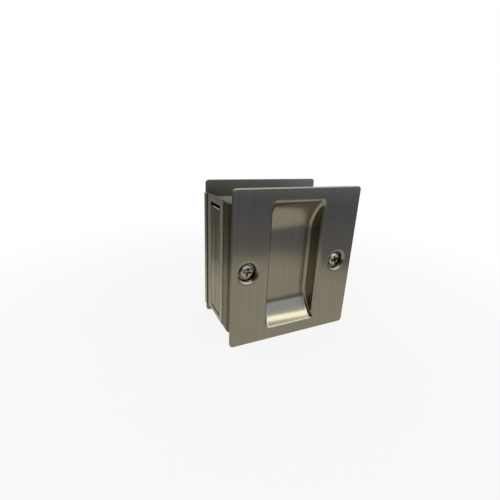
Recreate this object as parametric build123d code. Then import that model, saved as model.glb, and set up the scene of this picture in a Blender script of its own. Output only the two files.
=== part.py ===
from build123d import *
from math import acos, asin, atan2, cos, degrees, hypot, radians, sin, sqrt, tan
import os

# Adjustable notch-type pocket door pull.
# The model is built about the centre of the two plates: X runs along the plates' width with the door's
# edge at the left, Y runs through the door from the front plate to the rear plate, and Z is up.
# It is stored standing on the plates' lower edges.

# Plates: two drawn sheets of equal size
plate_width = 74.0
plate_height = 82.55
plate_gauge = 1.5
plate_corner_radius = 2.0
plate_edge_rounding = 0.5
plate_back_rounding = 0.25
door_gap = 39.3

# The cups, the screws and the posts stand a little nearer to the door's edge than the plates' middle
middle_offset = -0.8

# Finger cup drawn into each plate
cup_width = 30.4
cup_end_margin = 6.525
cup_height = plate_height - 2 * cup_end_margin
cup_depth = 8.2
cup_end_radius = 24.0
cup_wall_draft = 12.0
cup_wall_gauge = 1.2
cup_floor_fillet = 2.0
cup_rim_radius = 2.8

# Sunk seats for the two screws in the front plate
screw_edge_margin = 9.7
screw_spacing = plate_width - 2 * screw_edge_margin
seat_floor_radius = 4.45
seat_depth = 3.0
seat_wall_draft = 0.15
seat_lip_depth = 1.9
seat_dish_radius = 6.6
seat_edge_radius = 7.6
seat_corner_rounding = 0.4
seat_wall_gauge = 1.2

# Pan head machine screws
screw_radius = 2.05
screw_length = 26.0
screw_hole_clearance = 0.2
head_radius = 3.75
head_height = 2.0
head_side_height = 0.7
recess_span = 4.9
recess_wing = 1.1
recess_depth = 1.9
recess_taper = 8.0
recess_turns = {"left": 8.0, "right": -14.0}

# Tapped posts on the rear plate
post_radius = 3.2
post_length = 18.0
post_foot_radius = 4.5
post_foot_height = 1.0
post_bore_depth = 16.0
thread_clearance = 0.05

# Edge housing: folded sheet between the plates, on the door's edge side
housing_gauge = 1.2
housing_end_margin = 6.875
housing_height = plate_height - 2 * housing_end_margin
housing_proud = 0.3
housing_rear_gap = 3.5
housing_rear_reach = door_gap - housing_rear_gap
housing_bend_radius = 4.5
housing_fold_rounding = 0.7
front_wall_step = 0.25
front_wall_end = 10.4
flange_rear_reach = 22.7
weld_tab_length = 6.8
weld_tab_height = 18.0
weld_tab_inset = 4.0
seam_slot_length = 3.4
seam_slot_width = 0.9
seam_slot_setback = 2.2

# Slot in the housing's edge face
slot_width = 14.8
slot_end_margin = 3.3
slot_height = housing_height - 2 * slot_end_margin
slot_rise = -0.2
slot_front_margin = 14.6

# Edge pull: a flat tray with side walls, hinge ears and a finger lip
pull_gauge = 1.2
pull_side_gap = 0.5
pull_top_gap = 2.3
pull_bottom_gap = 1.1
pull_wall_depth = 3.7
pull_wall_end_gap = 3.0
pull_fold_rounding = 0.45
finger_lip_depth = 5.2
opening_angle = 80.0
stop_clearance = 0.15

# Hinge of the edge pull
pivot_drop = 10.9
pivot_depth = 4.3
pin_radius = 1.15
pin_fit = 0.02
pin_running_clearance = 0.05
pin_head_radius = 1.9
pin_head_height = 0.6
ear_radius = 3.0
lug_radius = 3.9

# Torsion spring on the pin
spring_wire = 0.7
spring_pitch = 0.78
spring_turns = 4 + 1 / 3
spring_leg_clearance = 0.06
spring_leg_length = 7.0

# Stop ledge under the finger lip, and turned-down stiffening lips of the housing's flanges
ledge_width = 8.0
ledge_height = 7.0
lip_drop = 14.0
lip_front_margin = 6.5

# Rear flange: strip that laps over the rear margin of the housing's edge face
lap_gauge = 0.8
lap_clearance = 0.05
lap_overlap = 0.9
lap_reach = housing_rear_gap + lap_overlap
lap_bend_radius = 1.2

# Places that follow from the sizes above
overall_depth = door_gap + 2 * plate_gauge
front_inner = -door_gap / 2
rear_inner = door_gap / 2
plate_left = -plate_width / 2
face_x = plate_left - housing_proud
half_housing = housing_height / 2
housing_rear = front_inner + housing_rear_reach
flange_rear = front_inner + flange_rear_reach
ridge_y = front_inner + front_wall_end
wall_x = face_x + front_wall_step
bend_x = wall_x + housing_bend_radius
bend_start = front_inner + housing_bend_radius
tab_end = bend_x + weld_tab_length
slot_front = front_inner + slot_front_margin
slot_middle = slot_front + slot_width / 2
slot_top = slot_rise + slot_height / 2
slot_bottom = slot_rise - slot_height / 2
pull_top = slot_top - pull_top_gap
pull_bottom = slot_bottom + pull_bottom_gap
pull_width = slot_width - 2 * pull_side_gap
pivot_x = face_x + pivot_depth
pivot_z = slot_top - pivot_drop
ledge_x = face_x + finger_lip_depth + pin_running_clearance
lap_front = rear_inner - lap_reach
lap_inner = face_x - lap_clearance

# The inner corner of the pull's top swings about the pin and nears the flange's lip when it is fully open
corner_depth = pivot_depth - pull_gauge
spring_radius = corner_depth - spring_wire / 2 - spring_leg_clearance
top_reach = hypot(corner_depth, pull_top - pivot_z)
top_angle = degrees(atan2(pull_top - pivot_z, -corner_depth)) - opening_angle
lip_x = pivot_x + top_reach * cos(radians(top_angle)) + stop_clearance
flange_end = lip_x + housing_gauge


def sheet_plane(y):
    """Plane parallel to the plates at depth y, whose normal points to the rear."""
    return Plane(origin=(0, y, 0), x_dir=(1, 0, 0), z_dir=(0, 1, 0))


def screw_x(side):
    """Place of a screw and its post across the plates."""
    return middle_offset + side * screw_spacing / 2


def cup_form(grow):
    """Solid that fills the cup, its skin moved outwards by grow. The plate's face lies at y = 0."""
    end_drop = cup_end_radius - cup_depth
    flat_half = cup_height / 2 - sqrt(cup_end_radius**2 - end_drop**2)
    radius = cup_end_radius + grow
    rim_angle = acos(end_drop / radius)

    def end_point(angle, side):
        return radius * cos(angle) - end_drop, side * (flat_half + radius * sin(angle))

    upper = [end_point(angle, 1) for angle in (rim_angle, rim_angle / 2, 0)]
    lower = [end_point(angle, -1) for angle in (0, rim_angle / 2, rim_angle)]
    outline = ThreePointArc(*upper) + Line(upper[-1], lower[0]) + ThreePointArc(*lower)
    outline += Line(lower[-1], upper[0])
    scoop = extrude(Plane.YZ * make_face(outline), amount=cup_width, both=True)
    mouth = Rectangle(cup_width + 2 * grow / cos(radians(cup_wall_draft)), 2 * cup_height)
    walls = extrude(sheet_plane(0) * mouth, amount=cup_depth + 2 * grow + 1, taper=cup_wall_draft)
    form = scoop & walls
    floor_half = cup_width / 2 - cup_depth * tan(radians(cup_wall_draft))
    floor_edges = form.edges().filter_by(
        lambda edge: abs(edge.center().X) > 0.8 * floor_half and edge.center().Y > 0.1
    )
    return fillet(floor_edges, cup_floor_fillet + grow)


def screw_seat():
    """Stamped seat as one revolved piece of sheet, with a rolled lip. The plate's face lies at y = 0."""
    hole_radius = screw_radius + screw_hole_clearance
    lip_radius = seat_floor_radius + seat_wall_draft
    run = seat_dish_radius - lip_radius
    roll = (run**2 + seat_lip_depth**2) / (2 * seat_lip_depth)
    half_turn = asin(run / roll) / 2
    lip = (lip_radius, seat_lip_depth)
    mid = (seat_dish_radius - roll * sin(half_turn), roll - roll * cos(half_turn))
    floor = (seat_floor_radius, seat_depth)
    back_floor = (seat_floor_radius + seat_wall_gauge, seat_depth + seat_wall_gauge)
    back_root = (lip_radius + seat_wall_gauge, plate_gauge)
    outline = Polyline((hole_radius, seat_depth), floor, lip)
    outline += ThreePointArc(lip, mid, (seat_dish_radius, 0))
    outline += Polyline(
        (seat_dish_radius, 0),
        (seat_edge_radius, 0),
        (seat_edge_radius, plate_gauge),
        back_root,
        back_floor,
        (hole_radius, seat_depth + seat_wall_gauge),
        (hole_radius, seat_depth),
    )
    outline = make_face(outline)
    for point, radius in (
        (floor, seat_corner_rounding),
        (back_root, seat_corner_rounding),
        (back_floor, seat_corner_rounding + seat_wall_gauge / 2),
    ):
        outline = fillet(outline.vertices().sort_by_distance((*point, 0))[0], radius)
    return revolve(outline, Axis.Y)


def cupped_plate():
    """Drawn plate with its finger cup. Its face lies at y = 0 and the metal reaches to the rear."""
    outline = RectangleRounded(plate_width, plate_height, plate_corner_radius)
    sheet = extrude(sheet_plane(0) * outline, amount=plate_gauge)
    sheet = fillet(sheet.faces().sort_by(Axis.Y)[0].edges(), plate_edge_rounding)
    sheet = fillet(sheet.faces().sort_by(Axis.Y)[-1].edges(), plate_back_rounding)
    cup_place = Pos(middle_offset, 0, 0)
    sheet = sheet + cup_place * cup_form(cup_wall_gauge) - cup_place * cup_form(0)

    def rim_edges(level):
        return sheet.edges().filter_by(
            lambda edge: abs(edge.center().Y - level) < 0.01
            and abs(edge.bounding_box().size.Y) < 0.01
            and abs(edge.center().X - middle_offset) < cup_width / 2 + 3
            and abs(edge.center().Z) < cup_height / 2 + 3
        )

    sheet = fillet(rim_edges(0), cup_rim_radius)
    return fillet(rim_edges(plate_gauge), cup_rim_radius - cup_wall_gauge)


def front_plate():
    plate = cupped_plate()
    for side in (-1, 1):
        seat = Pos(screw_x(side), 0, 0)
        opening = extrude(sheet_plane(-1) * Circle(seat_edge_radius), amount=plate_gauge + 2)
        plate = plate - seat * opening + seat * screw_seat()
    return Pos(0, -overall_depth / 2, 0) * plate


def rear_plate():
    return Pos(0, overall_depth / 2, 0) * mirror(cupped_plate(), about=Plane.XZ)


def screw(side, turn):
    """Pan head screw along +Y. The head's underside lies on the floor of its seat."""
    dome_middle = (0.62 * head_radius, -0.85 * head_height)
    outline = Line((0, 0), (head_radius, 0)) + Line((head_radius, 0), (head_radius, -head_side_height))
    outline += ThreePointArc((head_radius, -head_side_height), dome_middle, (0, -head_height))
    outline += Line((0, -head_height), (0, 0))
    head = revolve(make_face(outline), Axis.Y)
    shank = extrude(sheet_plane(0) * Circle(screw_radius), amount=screw_length)
    shank = chamfer(shank.edges().sort_by(Axis.Y)[-1], 0.5)
    recess_top = sheet_plane(-head_height - 0.1)
    cross = None
    for width, height in ((recess_span, recess_wing), (recess_wing, recess_span)):
        wing = extrude(recess_top * Rectangle(width, height), amount=recess_depth, taper=recess_taper)
        cross = wing if cross is None else cross + wing
    seat_y = -overall_depth / 2 + seat_depth
    place = Pos(screw_x(side), seat_y, 0)
    return place * (head + shank - Rot(0, turn, 0) * cross)


def post(side):
    """Tapped post with a welded foot on the rear plate's inner face."""
    foot = extrude(sheet_plane(rear_inner) * Circle(post_foot_radius), amount=-post_foot_height)
    barrel = extrude(sheet_plane(rear_inner) * Circle(post_radius), amount=-post_length)
    barrel = chamfer(barrel.edges().sort_by(Axis.Y)[0], 0.4)
    mouth = sheet_plane(rear_inner - post_length)
    bore = extrude(mouth * Circle(screw_radius + thread_clearance), amount=post_bore_depth)
    return Pos(screw_x(side), 0, 0) * (foot + barrel - bore)


def bend_arc(radius):
    """Quarter arc from the edge wall round to the front plate's back."""
    reach = radius * sqrt(0.5)
    return ThreePointArc(
        (bend_x - radius, bend_start),
        (bend_x - reach, bend_start - reach),
        (bend_x, bend_start - radius),
    )


def wall_side(x, y_end):
    """Straight line of the edge wall from y_end to the bend, with the small step at the front wall."""
    step = front_wall_step
    return Polyline((x, y_end), (x, ridge_y), (x + step, ridge_y - step), (x + step, bend_start))


def housing_wall_plan():
    """Plan of the edge wall: straight from the rear, then bent round to lie on the front plate's back."""
    inner_y = front_inner + housing_gauge
    outline = wall_side(face_x, housing_rear) + bend_arc(housing_bend_radius)
    outline += Polyline((bend_x, front_inner), (tab_end, front_inner), (tab_end, inner_y), (bend_x, inner_y))
    outline += bend_arc(housing_bend_radius - housing_gauge)
    outline += wall_side(face_x + housing_gauge, housing_rear)
    outline += Line((face_x + housing_gauge, housing_rear), (face_x, housing_rear))
    return make_face(outline)


def housing_flange_plan():
    """Plan of the upper and lower flange, which follows the edge wall's outer side."""
    outline = wall_side(face_x, flange_rear) + bend_arc(housing_bend_radius)
    outline += Polyline(
        (bend_x, front_inner), (flange_end, front_inner), (flange_end, flange_rear), (face_x, flange_rear)
    )
    return make_face(outline)


def block(x, y, z):
    """Box between the low and high limits given for each axis."""
    size = [high - low for low, high in (x, y, z)]
    middle = [(high + low) / 2 for low, high in (x, y, z)]
    return Pos(*middle) * Box(*size)


def hinge_lug(low_y):
    """Round-ended lug turned in from the slot's side, with the hole for the pin."""
    level = Plane(origin=(0, low_y, 0), x_dir=(1, 0, 0), z_dir=(0, 1, 0))
    inner_x = face_x + housing_gauge / 2
    root = Pos((inner_x + pivot_x) / 2, -pivot_z) * Rectangle(pivot_x - inner_x, 2 * lug_radius)
    outline = root + Pos(pivot_x, -pivot_z) * Circle(lug_radius)
    outline -= Pos(pivot_x, -pivot_z) * Circle(pin_radius + pin_fit)
    return extrude(level * outline, amount=housing_gauge)


def edge_housing():
    wall = extrude(housing_wall_plan(), amount=half_housing, both=True)
    top = Pos(0, 0, half_housing - housing_gauge) * extrude(housing_flange_plan(), amount=housing_gauge)
    body = wall + top + mirror(top, about=Plane.XY)
    fold_edges = body.edges().filter_by(
        lambda edge: abs(abs(edge.center().Z) - half_housing) < 0.01
        and edge.bounding_box().size.Z < 0.01
        and edge.bounding_box().max.X < bend_x + 0.01
        and edge.center().X < wall_x + housing_bend_radius / 3
        and edge.bounding_box().size.Y > 0.1
        and edge.bounding_box().min.X < face_x + housing_gauge / 2
    )
    body = fillet(fold_edges, housing_fold_rounding)
    tab_top = half_housing - weld_tab_inset
    tab_foot = tab_top - weld_tab_height
    between_tabs = (-tab_foot, tab_foot)
    body -= block((bend_x - 1.5, tab_end + 1), (front_inner - 1, bend_start - 0.5), between_tabs)
    seam_y = flange_rear - seam_slot_setback
    seam_x = face_x + housing_gauge
    for side in (-1, 1):
        corner = sorted((side * tab_top, side * (half_housing - housing_gauge)))
        body -= block((bend_x, tab_end + 1), (front_inner - 1, front_inner + housing_gauge + 0.01), corner)
        lip = sorted((side * (half_housing - lip_drop), side * half_housing))
        body += block((lip_x, flange_end), (front_inner + lip_front_margin, flange_rear), lip)
        seam = sorted((side * (half_housing - 2 * housing_gauge), side * (half_housing + 1)))
        body -= block((seam_x, seam_x + seam_slot_length), (seam_y - seam_slot_width, seam_y), seam)
    slot_rear = slot_front + slot_width
    body -= block((face_x - 1, seam_x + 0.01), (slot_front, slot_rear), (slot_bottom, slot_top))
    body += hinge_lug(slot_front - housing_gauge) + hinge_lug(slot_rear)
    body += block(
        (ledge_x, ledge_x + housing_gauge),
        (slot_middle - ledge_width / 2, slot_middle + ledge_width / 2),
        (-half_housing + housing_gauge / 2, -half_housing + ledge_height),
    )
    return body


def edge_pull():
    low_y = slot_middle - pull_width / 2
    high_y = slot_middle + pull_width / 2
    wall_x = face_x + pull_wall_depth
    tray = block((face_x, wall_x), (low_y, high_y), (pull_bottom, pull_top))
    hollow = block(
        (face_x + pull_gauge, wall_x + 1),
        (low_y + pull_gauge, high_y - pull_gauge),
        (pull_bottom - 1, pull_top + 1),
    )
    tray -= hollow
    for low, high in ((pull_bottom - 1, pull_bottom + pull_wall_end_gap),
                      (pull_top - pull_wall_end_gap, pull_top + 1)):
        tray -= block((face_x + pull_gauge, wall_x + 1), (low_y - 1, high_y + 1), (low, high))
    folds = tray.edges().filter_by(Axis.Z).filter_by(
        lambda edge: abs(edge.center().X - face_x) < 0.01
    )
    tray = fillet(folds, pull_fold_rounding)
    tray += block(
        (face_x + pull_gauge / 2, face_x + finger_lip_depth),
        (low_y + pull_gauge, high_y - pull_gauge),
        (pull_bottom, pull_bottom + pull_gauge),
    )
    for ear_y in (low_y, high_y - pull_gauge):
        level = Plane(origin=(0, ear_y, 0), x_dir=(1, 0, 0), z_dir=(0, 1, 0))
        root_x = face_x + pull_gauge
        root = Pos((root_x + pivot_x) / 2, -pivot_z) * Rectangle(pivot_x - root_x, 2 * ear_radius)
        ear = root + Pos(pivot_x, -pivot_z) * Circle(ear_radius)
        tray += extrude(level * ear, amount=pull_gauge)
    bore = Cylinder(pin_radius + pin_running_clearance, 2 * pull_width, rotation=(90, 0, 0))
    return tray - Pos(pivot_x, slot_middle, pivot_z) * bore


def pull_pin():
    """Hinge pin with a riveted head outside each lug."""
    half_span = slot_width / 2 + housing_gauge
    shaft = Cylinder(pin_radius, 2 * half_span, rotation=(90, 0, 0))
    for side in (-1, 1):
        head = Cylinder(pin_head_radius, pin_head_height, rotation=(90, 0, 0))
        head = fillet(head.edges().sort_by(Axis.Y)[0 if side < 0 else -1], 0.3)
        shaft += Pos(0, side * (half_span + pin_head_height / 2), 0) * head
    return Pos(pivot_x, slot_middle, pivot_z) * shaft


def pull_spring():
    """Torsion spring: one leg presses the pull's top outwards, the other bears on the upper flange's lip."""
    length = spring_pitch * spring_turns
    axis_frame = Plane(
        origin=(pivot_x, slot_middle + length / 2, pivot_z), x_dir=(-1, 0, 0), z_dir=(0, -1, 0)
    )
    coil = axis_frame * Helix(spring_pitch, length, spring_radius)
    coil_start = coil @ 0
    coil_end = coil @ 1
    push_end = coil_start - (coil % 0) * spring_leg_length
    bear_run = lip_x - spring_wire / 2 - spring_leg_clearance - coil_end.X
    bear_end = coil_end + (coil % 1) * (bear_run / (coil % 1).X)
    path = Line(push_end, coil_start) + coil + Line(coil_end, bear_end)
    return sweep(Plane(origin=push_end, z_dir=coil % 0) * Circle(spring_wire / 2), path=path)


def rear_flange():
    """Lap strip with a return that is welded to the rear plate's inner face in two tabs."""
    outer_x = lap_inner - lap_gauge
    strip = block((outer_x, lap_inner), (lap_front, rear_inner), (-half_housing, half_housing))
    tab_top = half_housing - weld_tab_inset
    for side in (-1, 1):
        span = sorted((side * (tab_top - weld_tab_height), side * tab_top))
        strip += block((outer_x, tab_end), (rear_inner - lap_gauge, rear_inner), span)
    bend = strip.edges().filter_by(Axis.Z).filter_by(
        lambda edge: abs(edge.center().X - outer_x) < 0.01 and abs(edge.center().Y - rear_inner) < 0.01
    )
    return fillet(bend, lap_bend_radius * 0.5)


parts = {
    "front_plate": front_plate(),
    "rear_plate": rear_plate(),
    "edge_housing": edge_housing(),
    "rear_flange": rear_flange(),
    "edge_pull": edge_pull(),
    "pull_pin": pull_pin(),
    "pull_spring": pull_spring(),
    "screw_left": screw(-1, recess_turns["left"]),
    "screw_right": screw(1, recess_turns["right"]),
    "post_left": post(-1),
    "post_right": post(1),
}

# The stored origin lies under the middle of the whole object, on the surface that it stands on.
lap_proud = plate_left - (lap_inner - lap_gauge)
to_origin = Pos(lap_proud / 2, 0, plate_height / 2)

os.makedirs("parts", exist_ok=True)
for name, shape in parts.items():
    export_step(to_origin * shape, f"parts/{name}.step")
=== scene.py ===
import bpy
import numpy as np
from mathutils import Matrix, Vector


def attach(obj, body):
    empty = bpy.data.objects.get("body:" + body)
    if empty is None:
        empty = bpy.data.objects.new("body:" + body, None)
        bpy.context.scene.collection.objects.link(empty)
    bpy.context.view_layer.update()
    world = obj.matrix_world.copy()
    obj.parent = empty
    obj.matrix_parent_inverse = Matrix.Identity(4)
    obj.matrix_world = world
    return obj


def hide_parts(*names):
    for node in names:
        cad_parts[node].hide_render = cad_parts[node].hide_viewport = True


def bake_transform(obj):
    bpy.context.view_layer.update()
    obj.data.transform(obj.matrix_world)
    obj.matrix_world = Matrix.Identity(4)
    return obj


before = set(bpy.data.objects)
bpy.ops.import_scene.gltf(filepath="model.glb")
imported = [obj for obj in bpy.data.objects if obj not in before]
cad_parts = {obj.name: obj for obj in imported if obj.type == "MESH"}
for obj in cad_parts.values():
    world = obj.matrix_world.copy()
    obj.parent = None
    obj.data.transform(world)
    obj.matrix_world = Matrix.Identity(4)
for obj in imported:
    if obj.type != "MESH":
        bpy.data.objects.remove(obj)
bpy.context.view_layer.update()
scene = bpy.context.scene
scene.view_settings.view_transform = "Standard"


# Camera: close in front of the plates' left half and a little above them. Its place, aim and lens come
# from fitting the corners of both plates and the two screws, so it keeps the photograph's strong
# perspective.
camera_place = Vector((-0.083558, -0.136894, 0.097953))
camera_aim = Vector((0.38783, 0.86985, -0.30487)).normalized()
camera_up = Vector((0.09447, 0.29151, 0.95189))
camera_lens_px = 285.3
camera_sensor_mm = 36.0
camera_clip = (0.001, 50.0)
photo_side_px = 500
photo_middle_px = (241.0, 243.1)


def add_object(name, data):
    """Puts a new object with this data into the scene."""
    thing = bpy.data.objects.new(name, data)
    scene.collection.objects.link(thing)
    return thing


camera_data = bpy.data.cameras.new("photo_camera")
camera_data.sensor_width = camera_sensor_mm
camera_data.lens = camera_lens_px / photo_side_px * camera_sensor_mm
camera_data.shift_x = 0.5 - photo_middle_px[0] / photo_side_px
camera_data.shift_y = photo_middle_px[1] / photo_side_px - 0.5
camera_data.clip_start, camera_data.clip_end = camera_clip
camera_right = camera_aim.cross(camera_up).normalized()
camera_top = camera_right.cross(camera_aim).normalized()
camera_turn = Matrix((camera_right, camera_top, -camera_aim)).transposed().to_4x4()
camera = add_object("photo_camera", camera_data)
camera.matrix_world = Matrix.Translation(camera_place) @ camera_turn
scene.camera = camera


# White surround: a white world and a white floor that the pull stands on. The camera and the metal's
# reflections see them as white, and everything else gets a plain level of light from them. The floor
# keeps a soft shadow.
pure_white = (1.0, 1.0, 1.0, 1.0)
world_level = 0.55
floor_size = 8.0
floor_white_share = (0.86, 1.0)
floor_fade_reach = (0.09, 0.30)
floor_colour = "EFEFEC"


def srgb(code):
    """Linear colour of an sRGB hex code. Near black a channel is divided by 12.92, and elsewhere it is
    raised by 0.055, divided by 1.055 and taken to the power 2.4."""
    channels = [int(code[i:i + 2], 16) / 255 for i in (0, 2, 4)]
    linear = [c / 12.92 if c <= 0.04045 else ((c + 0.055) / 1.055) ** 2.4 for c in channels]
    return (*linear, 1.0)


def add_node(tree, kind, settings=None, sockets=None):
    """Adds a node with its settings. A socket, given by name or number, takes a value, another node's
    output, or a node, which stands for its first output."""
    node = tree.nodes.new(kind)
    for name, value in (settings or {}).items():
        setattr(node, name, value)
    for key, value in (sockets or {}).items():
        if isinstance(value, bpy.types.Node):
            value = value.outputs[0]
        if isinstance(value, bpy.types.NodeSocket):
            tree.links.new(value, node.inputs[key])
        else:
            node.inputs[key].default_value = value
    return node


def seen_share(tree, share):
    """Share on rays from the camera, from gloss and through glass, and 0 on all others."""
    path = add_node(tree, "ShaderNodeLightPath")
    direct = add_node(tree, "ShaderNodeMath", {"operation": "ADD", "use_clamp": True},
                      {0: path.outputs["Is Camera Ray"], 1: path.outputs["Is Glossy Ray"]})
    seen = add_node(tree, "ShaderNodeMath", {"operation": "ADD", "use_clamp": True},
                    {0: direct, 1: path.outputs["Is Transmission Ray"]})
    return add_node(tree, "ShaderNodeMath", {"operation": "MULTIPLY"}, {0: seen, 1: share})


def new_material(name):
    """Empty node material with its node tree and its output node."""
    material = bpy.data.materials.new(name)
    material.use_nodes = True
    material.node_tree.nodes.clear()
    return material, material.node_tree, add_node(material.node_tree, "ShaderNodeOutputMaterial")


world = bpy.data.worlds.new("white_room")
scene.world = world
world.use_nodes = True
tree = world.node_tree
tree.nodes.clear()
room_fill = add_node(tree, "ShaderNodeBackground", None, {"Color": pure_white, "Strength": world_level})
room_white = add_node(tree, "ShaderNodeBackground", None, {"Color": pure_white, "Strength": 1.0})
room_look = add_node(tree, "ShaderNodeMixShader", None,
                     {0: seen_share(tree, 1.0), 1: room_fill, 2: room_white})
add_node(tree, "ShaderNodeOutputWorld", None, {"Surface": room_look})

floor_half = floor_size / 2
floor_corners = [(-floor_half, -floor_half, 0), (floor_half, -floor_half, 0),
                 (floor_half, floor_half, 0), (-floor_half, floor_half, 0)]
floor_mesh = bpy.data.meshes.new("floor")
floor_mesh.from_pydata(floor_corners, [], [(0, 1, 2, 3)])
floor = add_object("floor", floor_mesh)
floor_paint, tree, output = new_material("matt_white_floor_paint")
floor_spot = add_node(tree, "ShaderNodeTexCoord").outputs["Object"]
floor_reach = add_node(tree, "ShaderNodeVectorMath", {"operation": "LENGTH"}, {0: floor_spot})
floor_fade = add_node(tree, "ShaderNodeMapRange", {"interpolation_type": "SMOOTHSTEP"},
                      {"Value": floor_reach.outputs["Value"],
                       "From Min": floor_fade_reach[0], "From Max": floor_fade_reach[1],
                       "To Min": floor_white_share[0], "To Max": floor_white_share[1]})
paint = add_node(tree, "ShaderNodeBsdfDiffuse", None, {"Color": srgb(floor_colour)})
white = add_node(tree, "ShaderNodeEmission", None, {"Color": pure_white, "Strength": 1.0})
floor_look = add_node(tree, "ShaderNodeMixShader", None,
                      {0: seen_share(tree, floor_fade), 1: paint, 2: white})
tree.links.new(floor_look.outputs[0], output.inputs["Surface"])
floor_mesh.materials.append(floor_paint)


# Lamps: one wide softbox in front and above, whose reflection is the cream band low in the finger cup,
# and a weaker one behind that keeps the rear plate and the back views evenly lit.
softbox_level = 2.6
softbox_size = (0.9, 0.135)
softbox_place = Vector((0.35, -0.54, 0.435))
softbox_colour = "FFFDF4"
rear_box_level = 1.0
rear_box_size = (0.8, 0.4)
rear_box_place = Vector((0.15, 0.60, 0.95))
rear_box_colour = "FFFFFF"
lamp_aim = Vector((0.0, 0.0, 0.04))


def softbox(name, place, size, level, colour):
    """Area lamp aimed at the pull. Its power is pi times its area times the brightness that it shows."""
    data = bpy.data.lights.new(name, "AREA")
    data.shape = "RECTANGLE"
    data.size, data.size_y = size
    data.energy = np.pi * size[0] * size[1] * level
    data.color = srgb(colour)[:3]
    turn = (place - lamp_aim).to_track_quat("Z", "Y").to_matrix().to_4x4()
    lamp = add_object(name, data)
    lamp.matrix_world = Matrix.Translation(place) @ turn


softbox("front_softbox", softbox_place, softbox_size, softbox_level, softbox_colour)
softbox("rear_softbox", rear_box_place, rear_box_size, rear_box_level, rear_box_colour)


# Reflector cards: metal shows little but what it mirrors, so plain cards that only reflections see stand
# where the photograph's room did. The table card is pale near the pull and dark further out, the wall
# card stands round it, both are dimmer towards the pull's left rear, and a dark card stands at the left.
table_card_radius = 1.4
table_card_lift = 0.0004
wall_card_radius = 1.35
wall_card_height = 0.55
ring_points = 96
table_middle = (-0.020, 0.0, 0.0)
level_part = (1.0, 1.0, 0.0)
dim_side = (-0.85, 0.50, 0.0)
dim_side_share = (-0.1, 0.45)
table_front_bands = (
    (0.000, (0.70, 0.69, 0.66)),
    (0.108, (0.70, 0.68, 0.64)),
    (0.128, (0.61, 0.60, 0.57)),
    (0.172, (0.27, 0.28, 0.32)),
    (0.240, (0.245, 0.25, 0.30)),
    (0.420, (0.18, 0.20, 0.25)),
    (0.800, (0.23, 0.265, 0.33)),
    (1.400, (0.42, 0.50, 0.60)),
)
table_dim_bands = (
    (0.000, (0.60, 0.59, 0.54)),
    (0.070, (0.60, 0.59, 0.54)),
    (0.092, (0.50, 0.49, 0.45)),
    (0.125, (0.27, 0.27, 0.25)),
    (0.165, (0.21, 0.21, 0.19)),
    (0.250, (0.15, 0.15, 0.14)),
    (0.450, (0.13, 0.13, 0.12)),
    (1.400, (0.20, 0.20, 0.18)),
)
wall_front_colour = (0.80, 0.92, 1.08, 1.0)
wall_dim_colour = (0.30, 0.30, 0.28, 1.0)
left_card_corners = [
    (-0.13, -0.93, 0.02),
    (-0.70, 0.25, 0.02),
    (-0.70, 0.25, 1.10),
    (-0.13, -0.93, 1.10),
]
left_card_colour = (0.07, 0.055, 0.045, 1.0)


def full_turn(steps):
    """Angles of even steps round a circle, from 0."""
    return np.linspace(0, 2 * np.pi, steps, endpoint=False)


def add_card(name, points, faces, finish, colour):
    """Stands up a card that shines evenly with the colour, and that nothing but glossy reflections sees.
    Its finish is what new_material gives."""
    material, tree, output = finish
    glow = add_node(tree, "ShaderNodeEmission", None, {"Color": colour, "Strength": 1.0})
    tree.links.new(glow.outputs[0], output.inputs["Surface"])
    mesh = bpy.data.meshes.new(name)
    mesh.from_pydata(points, [], faces)
    mesh.materials.append(material)
    card = add_object(name, mesh)
    card.visible_camera = False
    card.visible_diffuse = False
    card.visible_transmission = False
    card.visible_volume_scatter = False
    card.visible_shadow = False


def flat_way(tree):
    """Distance from the pull along the table, and the share by which a place lies on the dim side."""
    place = add_node(tree, "ShaderNodeTexCoord").outputs["Object"]
    way = add_node(tree, "ShaderNodeVectorMath", {"operation": "SUBTRACT"}, {0: place, 1: table_middle})
    flat = add_node(tree, "ShaderNodeVectorMath", {"operation": "MULTIPLY"}, {0: way, 1: level_part})
    distance = add_node(tree, "ShaderNodeVectorMath", {"operation": "LENGTH"}, {0: flat})
    heading = add_node(tree, "ShaderNodeVectorMath", {"operation": "NORMALIZE"}, {0: flat})
    along = add_node(tree, "ShaderNodeVectorMath", {"operation": "DOT_PRODUCT"}, {0: heading, 1: dim_side})
    share = add_node(tree, "ShaderNodeMapRange", {"interpolation_type": "SMOOTHSTEP"},
                     {"Value": along.outputs["Value"], "From Min": dim_side_share[0],
                      "From Max": dim_side_share[1], "To Min": 0.0, "To Max": 1.0})
    return distance.outputs["Value"], share


def banded(tree, distance, rows):
    """Colour that follows the distance in soft bands."""
    reach = add_node(tree, "ShaderNodeMath", {"operation": "DIVIDE"}, {0: distance, 1: table_card_radius})
    bands = add_node(tree, "ShaderNodeValToRGB", None, {"Fac": reach})
    bands.color_ramp.interpolation = "EASE"
    while len(bands.color_ramp.elements) < len(rows):
        bands.color_ramp.elements.new(1.0)
    for element, (radius, level) in zip(bands.color_ramp.elements, rows):
        element.position = radius / table_card_radius
        element.color = (*level, 1.0)
    return bands


ring_turn = full_turn(ring_points)
ring = np.column_stack([np.cos(ring_turn), np.sin(ring_turn), np.zeros(ring_points)])
finish = new_material("graded_table_card")
tree = finish[1]
distance, dim_share = flat_way(tree)
table_colour = add_node(tree, "ShaderNodeMix", {"data_type": "RGBA"},
                        {0: dim_share, 6: banded(tree, distance, table_front_bands),
                         7: banded(tree, distance, table_dim_bands)}).outputs[2]
table_points = ring * table_card_radius + [0, 0, table_card_lift]
add_card("table_card", table_points.tolist(), [list(range(ring_points))], finish, table_colour)

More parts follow.
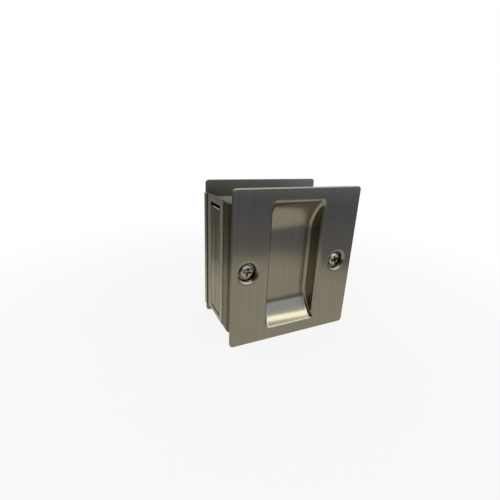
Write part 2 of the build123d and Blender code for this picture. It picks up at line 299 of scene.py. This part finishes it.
finish = new_material("pale_wall_card")
tree = finish[1]
dim_share = flat_way(tree)[1]
wall_colour = add_node(tree, "ShaderNodeMix", {"data_type": "RGBA"},
                       {0: dim_share, 6: wall_front_colour, 7: wall_dim_colour}).outputs[2]
wall_foot = ring * wall_card_radius + [0, 0, table_card_lift]
wall_points = np.vstack([wall_foot, wall_foot + [0, 0, wall_card_height]])
wall_index = np.arange(ring_points)
wall_next = (wall_index + 1) % ring_points
wall_faces = np.column_stack([wall_index, wall_next, wall_next + ring_points, wall_index + ring_points])
add_card("wall_card", wall_points.tolist(), wall_faces.tolist(), finish, wall_colour)

add_card("left_card", left_card_corners, [(0, 1, 2, 3)], new_material("dark_left_card"), left_card_colour)


# Front plate: drawn sheet steel, brushed up and down on a belt and then plated with satin nickel. The
# grain gives upright streaks, drawn coarser than real so that they show, and spreads the reflections
# sideways. The back is plated over plain sheet, so it is duller and more even.
mm = 0.001
nickel_light = "979181"
nickel_dark = "8E8879"
plate_rough = 0.18
plain_side = ("908C80", 0.42)
looks_back = [("Normal", "Y", "GREATER_THAN", 0.1)]
across_plates = (1.0, 0.0, 0.0)
fine_grain_mm = 0.28
coarse_grain_mm = 1.1
coarse_grain_share = 0.6
grain_run_mm = 22.0
grain_depth_mm = 0.0025
grain_spread = 0.72
grain_rough_change = 0.02
cloud_mm = 18.0
cloud_rough_change = 0.01
coarse_detail = 1.0
fine_detail = 2.0
noise_roughness = 0.6
noise_range = {"From Min": 0.3, "From Max": 0.7}


def grain(tree, place, width_mm, run_mm, detail):
    """Noise drawn out upwards: its features are width_mm wide across the grain and run_mm long along it."""
    per_width = 1 / (width_mm * mm)
    stretched = add_node(tree, "ShaderNodeMapping", None,
                         {"Vector": place, "Scale": (per_width, per_width, 1 / (run_mm * mm))})
    return add_node(tree, "ShaderNodeTexNoise", {"noise_dimensions": "3D"},
                    {"Vector": stretched, "Scale": 1.0, "Detail": detail, "Roughness": noise_roughness})


def mask(tree, conditions):
    """1 where all conditions hold, and 0 elsewhere. Each compares one part of the place (Object) or of the
    direction that the surface looks in (Normal) with an edge."""
    coordinates = add_node(tree, "ShaderNodeTexCoord")
    share = 1.0
    for source, axis, comparison, edge in conditions:
        parts = add_node(tree, "ShaderNodeSeparateXYZ", None, {0: coordinates.outputs[source]})
        holds = add_node(tree, "ShaderNodeMath", {"operation": comparison}, {0: parts.outputs[axis], 1: edge})
        share = add_node(tree, "ShaderNodeMath", {"operation": "MULTIPLY"}, {0: share, 1: holds})
    return share


def satin_nickel(name, light, dark, rough, patches, across=across_plates, depth_mm=grain_depth_mm,
                 coarse_mm=coarse_grain_mm, run_mm=grain_run_mm):
    """Brushed nickel plate: streaks vary its colour and roughness a little and tilt its surface, and they
    spread its gloss in the direction across them. A patch gives another colour and roughness where its
    conditions hold."""
    material, tree, output = new_material(name)
    place = add_node(tree, "ShaderNodeTexCoord").outputs["Object"]
    fine = grain(tree, place, fine_grain_mm, run_mm, fine_detail)
    coarse = grain(tree, place, coarse_mm, 2 * run_mm, coarse_detail)
    cloud = grain(tree, place, cloud_mm, cloud_mm, fine_detail)
    broad = add_node(tree, "ShaderNodeMath", {"operation": "MULTIPLY"}, {0: coarse, 1: coarse_grain_share})
    streaks = add_node(tree, "ShaderNodeMath", {"operation": "MULTIPLY_ADD"},
                       {0: fine, 1: 1 - coarse_grain_share, 2: broad})
    tone = add_node(tree, "ShaderNodeMapRange", None,
                    {"Value": streaks, **noise_range, "To Min": 0.0, "To Max": 1.0})
    colour = add_node(tree, "ShaderNodeMix", {"data_type": "RGBA"},
                      {0: tone, 6: srgb(dark), 7: srgb(light)}).outputs[2]
    grain_rough = add_node(tree, "ShaderNodeMapRange", None,
                           {"Value": fine, **noise_range, "To Min": rough - grain_rough_change,
                            "To Max": rough + grain_rough_change})
    cloud_rough = add_node(tree, "ShaderNodeMapRange", None,
                           {"Value": cloud, **noise_range, "To Min": -cloud_rough_change,
                            "To Max": cloud_rough_change})
    roughness = add_node(tree, "ShaderNodeMath", {"operation": "ADD"}, {0: grain_rough, 1: cloud_rough})
    for conditions, patch_colour, patch_rough in patches:
        share = mask(tree, conditions)
        colour = add_node(tree, "ShaderNodeMix", {"data_type": "RGBA"},
                          {0: share, 6: colour, 7: srgb(patch_colour)}).outputs[2]
        roughness = add_node(tree, "ShaderNodeMix", {"data_type": "FLOAT"},
                             {0: share, 2: roughness, 3: patch_rough})
    bump = add_node(tree, "ShaderNodeBump", None,
                    {"Strength": 1.0, "Distance": depth_mm * mm, "Height": streaks})
    sideways = add_node(tree, "ShaderNodeCombineXYZ", None, dict(enumerate(across)))
    surface = add_node(tree, "ShaderNodeBsdfPrincipled", None,
                       {"Base Color": colour, "Metallic": 1.0, "Roughness": roughness,
                        "Anisotropic": grain_spread, "Tangent": sideways, "Normal": bump})
    tree.links.new(surface.outputs[0], output.inputs["Surface"])
    return material


def dress(node, material):
    """Gives a CAD node its finish."""
    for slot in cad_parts[node].material_slots:
        slot.material = material


dress("front_plate", satin_nickel("satin_nickel_brushed_front_plate", nickel_light, nickel_dark, plate_rough,
                                  [(looks_back, *plain_side)]))


# Rear plate: the same drawn plate in the same brushed satin nickel. Here its plain inner side is the one
# that looks to the front.
looks_forward = [("Normal", "Y", "LESS_THAN", -0.1)]

dress("rear_plate", satin_nickel("satin_nickel_brushed_rear_plate", nickel_light, nickel_dark, plate_rough,
                                 [(looks_forward, *plain_side)]))


# Edge housing: folded from one sheet and brushed along its height before it is welded to the front plate.
# Its upper flange and its other faces that look up are painted darker than its face, as painted shade. Its
# inner side and the slot's cut edges are painted dark as painted shade, and so is the wall next to the front
# plate, up to the ridge.
plate_middle_z = 0.041275
housing_inner_x = -0.03665
housing_inner_half = 0.0338
ridge_y = -0.0093
across_edge = (0.0, 1.0, 0.0)
folded_rough = 0.62
housing_light = "CDC8B7"
housing_dark = "C1BCAB"
# The next three patches are painted shade: darker upper faces, a darker front wall and a dark inside.
upper_flange_painted_shade = ("585649", 0.40)
front_wall_painted_shade = ("6B644F", 0.22)
inner_painted_shade = ("2E2B27", 0.3)
looks_up = [("Normal", "Z", "GREATER_THAN", 0.35)]
looks_inward = [("Normal", "X", "GREATER_THAN", 0.2)]
between_flanges = [("Object", "Z", "GREATER_THAN", plate_middle_z - housing_inner_half),
                   ("Object", "Z", "LESS_THAN", plate_middle_z + housing_inner_half)]
front_wall = [*between_flanges, ("Object", "Y", "LESS_THAN", ridge_y)]
inside_housing = [*between_flanges, ("Object", "Y", "GREATER_THAN", ridge_y),
                  ("Object", "X", "GREATER_THAN", housing_inner_x)]

dress("edge_housing", satin_nickel("satin_nickel_brushed_housing", housing_light, housing_dark, folded_rough,
                                   [(looks_up, *upper_flange_painted_shade), (front_wall, *front_wall_painted_shade),
                                    (looks_inward, *inner_painted_shade), (inside_housing, *inner_painted_shade)],
                                   across=across_edge))


# Rear flange: the narrow strip on the rear plate that laps over the housing, from the same brushed sheet.
# Its cut edge, which looks forward, is painted dark as the painted shadow of the gap at the lap, and the wing
# behind it that is welded to the plate is painted dark as painted shade.
strip_light = "C9C4B3"
strip_dark = "BDB8A7"
# Painted shadow: the forward-looking cut edge is painted dark where the gap at the lap casts shade.
cut_edge_painted_shadow = ("615C52", 0.4)
on_wing = [("Object", "X", "GREATER_THAN", -0.0366)]

dress("rear_flange", satin_nickel("satin_nickel_brushed_flange", strip_light, strip_dark, folded_rough,
                                  [(looks_forward, *cut_edge_painted_shadow), (on_wing, *inner_painted_shade)],
                                  across=across_edge))


# Edge pull: a flush tray in satin nickel, brushed more coarsely than the plates. Its streaks are drawn
# wider and deeper than the real ones, because those would be finer than a pixel here.
pull_light = "B8B19B"
pull_dark = "625D50"
pull_rough = 0.2
pull_grain_depth_mm = 0.010
pull_coarse_mm = 1.9
pull_run_mm = 30.0
# Painted highlight: the pull's faces that look up, its top sheet edge among them, are painted light.
pull_top_painted_highlight = ("D2CAB6", 0.3)
# Painted shade: the pull's parts inside the housing are painted nearly black.
pull_inner_painted_shade = ("12110F", 0.4)
inside_pull = [("Object", "X", "GREATER_THAN", -0.0353)]

dress("edge_pull", satin_nickel("satin_nickel_brushed_edge_pull", pull_light, pull_dark, pull_rough,
                                [(looks_up, *pull_top_painted_highlight), (inside_pull, *pull_inner_painted_shade)],
                                across=across_edge, depth_mm=pull_grain_depth_mm,
                                coarse_mm=pull_coarse_mm, run_mm=pull_run_mm))


# Hinge pin and tapped posts: turned mild steel with a thin zinc plate, whose crystals give a cool and
# slightly uneven grey. They are drawn larger than real so that they show.
zinc_light = "A9ABA8"
zinc_dark = "8E918F"
zinc_spot_mm = 0.9
zinc_depth_mm = 0.008
zinc_rough_change = 0.05
pin_rough = 0.3
post_rough = 0.38
spot_detail = 3.0


def zinc_plate(name, rough):
    """Zinc plate over steel: its crystals vary its colour and roughness and tilt its surface."""
    material, tree, output = new_material(name)
    place = add_node(tree, "ShaderNodeTexCoord").outputs["Object"]
    crystals = grain(tree, place, zinc_spot_mm, zinc_spot_mm, spot_detail)
    tone = add_node(tree, "ShaderNodeMapRange", None,
                    {"Value": crystals, **noise_range, "To Min": 0.0, "To Max": 1.0})
    colour = add_node(tree, "ShaderNodeMix", {"data_type": "RGBA"},
                      {0: tone, 6: srgb(zinc_dark), 7: srgb(zinc_light)}).outputs[2]
    roughness = add_node(tree, "ShaderNodeMapRange", None,
                         {"Value": crystals, **noise_range, "To Min": rough - zinc_rough_change,
                          "To Max": rough + zinc_rough_change})
    bump = add_node(tree, "ShaderNodeBump", None,
                    {"Strength": 1.0, "Distance": zinc_depth_mm * mm, "Height": crystals})
    surface = add_node(tree, "ShaderNodeBsdfPrincipled", None,
                       {"Base Color": colour, "Metallic": 1.0, "Roughness": roughness, "Normal": bump})
    tree.links.new(surface.outputs[0], output.inputs["Surface"])
    return material


zinc_post = zinc_plate("zinc_plated_steel_post", post_rough)
dress("pull_pin", zinc_plate("zinc_plated_steel_pin", pin_rough))
dress("post_left", zinc_post)
dress("post_right", zinc_post)


# Screws: pan head machine screws in bright nickel plate, smooth enough to mirror the room, with faint
# marks in the plating, and a rolled thread on the shank between the plates. The first value gives each
# screw's place along X and the amount by which its dome shades flatter than it is.
screws = {"left": (-0.027525, 0.9), "right": (0.027075, 0.2)}
bright_light = "B8B1A0"
bright_dark = "A09988"
bright_rough = 0.12
mark_mm = 1.0
mark_depth_mm = 0.012
mark_rough_change = (-0.03, 0.05)
# Painted shade: a dark ring is painted on the head's edge, from edge_start outwards.
head_edge_painted_shade = "575046"
edge_start = 0.00325
# Painted light: the cross recess is painted an even light tone that lifts its shade.
recess_painted_light = "BDB19C"
recess_reach = 0.0026
recess_start_y = (-0.01955, -0.01925)
on_dome = [("Object", "Y", "LESS_THAN", -0.0188), ("Normal", "Y", "LESS_THAN", -0.4)]
across_screw = (1.0, 0.0, 1.0)
thread_pitch = 0.0007
thread_root = 0.00206
thread_crest = 0.00222
thread_from = -0.01685
thread_to = 0.0016
thread_sides = 36
thread_steps = 8


def bright_nickel(name, x, flatness):
    """Bright nickel plate: almost a mirror, with soft marks a millimetre wide in its roughness and surface.
    The dome shades flatter than it is by the flatness, as a polished head does, the head's edge is painted
    dark as painted shade, and the cross recess, near the axis at x and below the dome, is painted an even
    light tone as painted light against its shade."""
    material, tree, output = new_material(name)
    place = add_node(tree, "ShaderNodeTexCoord").outputs["Object"]
    marks = grain(tree, place, mark_mm, mark_mm, spot_detail)
    tone = add_node(tree, "ShaderNodeMapRange", None,
                    {"Value": marks, **noise_range, "To Min": 0.0, "To Max": 1.0})
    plating = add_node(tree, "ShaderNodeMix", {"data_type": "RGBA"},
                       {0: tone, 6: srgb(bright_dark), 7: srgb(bright_light)}).outputs[2]
    from_axis = add_node(tree, "ShaderNodeVectorMath", {"operation": "SUBTRACT"},
                         {0: place, 1: (x, 0.0, plate_middle_z)})
    sideways = add_node(tree, "ShaderNodeVectorMath", {"operation": "MULTIPLY"},
                        {0: from_axis, 1: across_screw})
    radius = add_node(tree, "ShaderNodeVectorMath", {"operation": "LENGTH"}, {0: sideways}).outputs["Value"]
    at_edge = add_node(tree, "ShaderNodeMath", {"operation": "GREATER_THAN"}, {0: radius, 1: edge_start})
    head_edge_shaded = add_node(tree, "ShaderNodeMix", {"data_type": "RGBA"},
                    {0: at_edge, 6: plating, 7: srgb(head_edge_painted_shade)}).outputs[2]
    near_axis = add_node(tree, "ShaderNodeMath", {"operation": "LESS_THAN"}, {0: radius, 1: recess_reach})
    below_dome = add_node(tree, "ShaderNodeMapRange", None,
                          {"Value": add_node(tree, "ShaderNodeSeparateXYZ", None, {0: place}).outputs["Y"],
                           "From Min": recess_start_y[0], "From Max": recess_start_y[1],
                           "To Min": 0.0, "To Max": 1.0})
    in_recess = add_node(tree, "ShaderNodeMath", {"operation": "MULTIPLY"}, {0: near_axis, 1: below_dome})
    colour = add_node(tree, "ShaderNodeMix", {"data_type": "RGBA"},
                      {0: in_recess, 6: head_edge_shaded, 7: srgb(recess_painted_light)}).outputs[2]
    roughness = add_node(tree, "ShaderNodeMapRange", None,
                         {"Value": marks, **noise_range, "To Min": bright_rough + mark_rough_change[0],
                          "To Max": bright_rough + mark_rough_change[1]})
    bump = add_node(tree, "ShaderNodeBump", None,
                    {"Strength": 1.0, "Distance": mark_depth_mm * mm, "Height": marks})
    push = add_node(tree, "ShaderNodeVectorMath", {"operation": "SCALE"},
                    {0: (0.0, -flatness, 0.0), "Scale": mask(tree, on_dome)})
    lean = add_node(tree, "ShaderNodeVectorMath", {"operation": "ADD"}, {0: bump, 1: push})
    flatter = add_node(tree, "ShaderNodeVectorMath", {"operation": "NORMALIZE"}, {0: lean})
    surface = add_node(tree, "ShaderNodeBsdfPrincipled", None,
                       {"Base Color": colour, "Metallic": 1.0, "Roughness": roughness, "Normal": flatter})
    tree.links.new(surface.outputs[0], output.inputs["Surface"])
    return material


def tube_mesh(name, points):
    """Smooth mesh of a grid of points, shaped (rows, columns, 3). Neighbouring points make quads, and each
    row is a ring whose last point is joined to its first."""
    rows, columns = points.shape[:2]
    row = np.arange(rows - 1)[:, None]
    column = np.arange(columns)[None, :]
    after = (column + 1) % columns
    quads = np.stack([row * columns + column, row * columns + after,
                      (row + 1) * columns + after, (row + 1) * columns + column], axis=-1).reshape(-1, 4)
    mesh = bpy.data.meshes.new(name)
    mesh.from_pydata(points.reshape(-1, 3).tolist(), [], quads.tolist())
    mesh.polygons.foreach_set("use_smooth", np.ones(len(quads), dtype=bool))
    mesh.update()
    return mesh


def thread_surface(x, z):
    """Rolled thread round the line through x and z along Y. The radius runs between root and crest as a
    triangle wave of the distance along Y in pitches less the share of a turn, which winds it."""
    turn = full_turn(thread_sides)[None, :]
    along = np.arange(thread_from, thread_to, thread_pitch / thread_steps)[:, None]
    wave = np.abs(((along / thread_pitch - turn / (2 * np.pi)) % 1.0) - 0.5) * 2
    radius = thread_root + (thread_crest - thread_root) * wave
    return np.stack([x + radius * np.sin(turn), along + 0 * turn, z + radius * np.cos(turn)], axis=-1)


for hand, (x, flatness) in screws.items():
    screw_plate = bright_nickel(f"bright_nickel_plated_screw_{hand}", x, flatness)
    dress(f"screw_{hand}", screw_plate)
    thread = add_object(f"thread_{hand}", tube_mesh(f"thread_{hand}", thread_surface(x, plate_middle_z)))
    thread.data.materials.append(screw_plate)
    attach(thread, "pull_frame")


# Spring: hard-drawn steel wire wound round the hinge pin. One leg stands up behind the pull's top and
# pushes it outwards, and the other bears on the housing's lip. Its coil twists when the pull opens.
wire_radius = 0.00035
wire_rough = 0.3
wire_sides = 14
coil_radius = 0.00269
coil_pitch = 0.00078
coil_turns = 4 + 1 / 3
coil_steps = 40
coil_half_length = coil_pitch * coil_turns / 2
coil_centre = np.array([-0.032425, 0.00235, 0.061275])
push_leg = 0.0070
bear_leg = 0.00731
leg_steps = 14
tip_steps = 6


def leg_spots(length):
    """Distances from a leg's free end: closer together over the tip that is rounded, then in even steps,
    and without the leg's foot, where the helix takes over."""
    tip = wire_radius * (1 - np.cos(np.linspace(0, np.pi / 2, tip_steps)))
    return np.concatenate([tip, np.linspace(wire_radius, length, leg_steps)[1:-1]])


def unit(vectors):
    """The vectors, one a row, at length 1."""
    return vectors / np.linalg.norm(vectors, axis=1)[:, None]


def spring_surface():
    """Wire along a path: a straight leg, a helix about Y that starts at its left going down, and a straight
    leg, both in line with the helix's ends. Round each point the wire is a circle across the path, and its
    radius falls to 0 over the last half wire's width as a quarter circle does."""
    turn = np.linspace(0, 2 * np.pi * coil_turns, int(coil_steps * coil_turns))
    helix = np.column_stack([-coil_radius * np.cos(turn), coil_half_length - coil_pitch * turn / (2 * np.pi),
                             -coil_radius * np.sin(turn)])
    way = unit(np.column_stack([coil_radius * np.sin(turn), np.full_like(turn, -coil_pitch / (2 * np.pi)),
                                -coil_radius * np.cos(turn)]))
    push_run = leg_spots(push_leg) - push_leg
    bear_run = bear_leg - leg_spots(bear_leg)[::-1]
    push_line = helix[0] + push_run[:, None] * way[0]
    bear_line = helix[-1] + bear_run[:, None] * way[-1]
    line = np.vstack([push_line, helix, bear_line])
    push_way = np.repeat(way[:1], len(push_run), axis=0)
    bear_way = np.repeat(way[-1:], len(bear_run), axis=0)
    heading = np.vstack([push_way, way, bear_way])
    side = unit(np.cross(heading, [0.0, 1.0, 0.0]))
    across = np.cross(heading, side)
    to_end = np.concatenate([push_run + push_leg, np.full(len(helix), 1.0), bear_leg - bear_run])
    radius = wire_radius * np.sqrt(1 - np.clip(1 - to_end / wire_radius, 0, 1) ** 2)
    around = full_turn(wire_sides)[None, :, None]
    circle = np.cos(around) * side[:, None, :] + np.sin(around) * across[:, None, :]
    return coil_centre + line[:, None, :] + radius[:, None, None] * circle


spring = add_object("twisting_spring", tube_mesh("twisting_spring", spring_surface()))
spring.data.materials.append(zinc_plate("drawn_steel_spring_wire", wire_rough))
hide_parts("pull_spring")
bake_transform(spring)
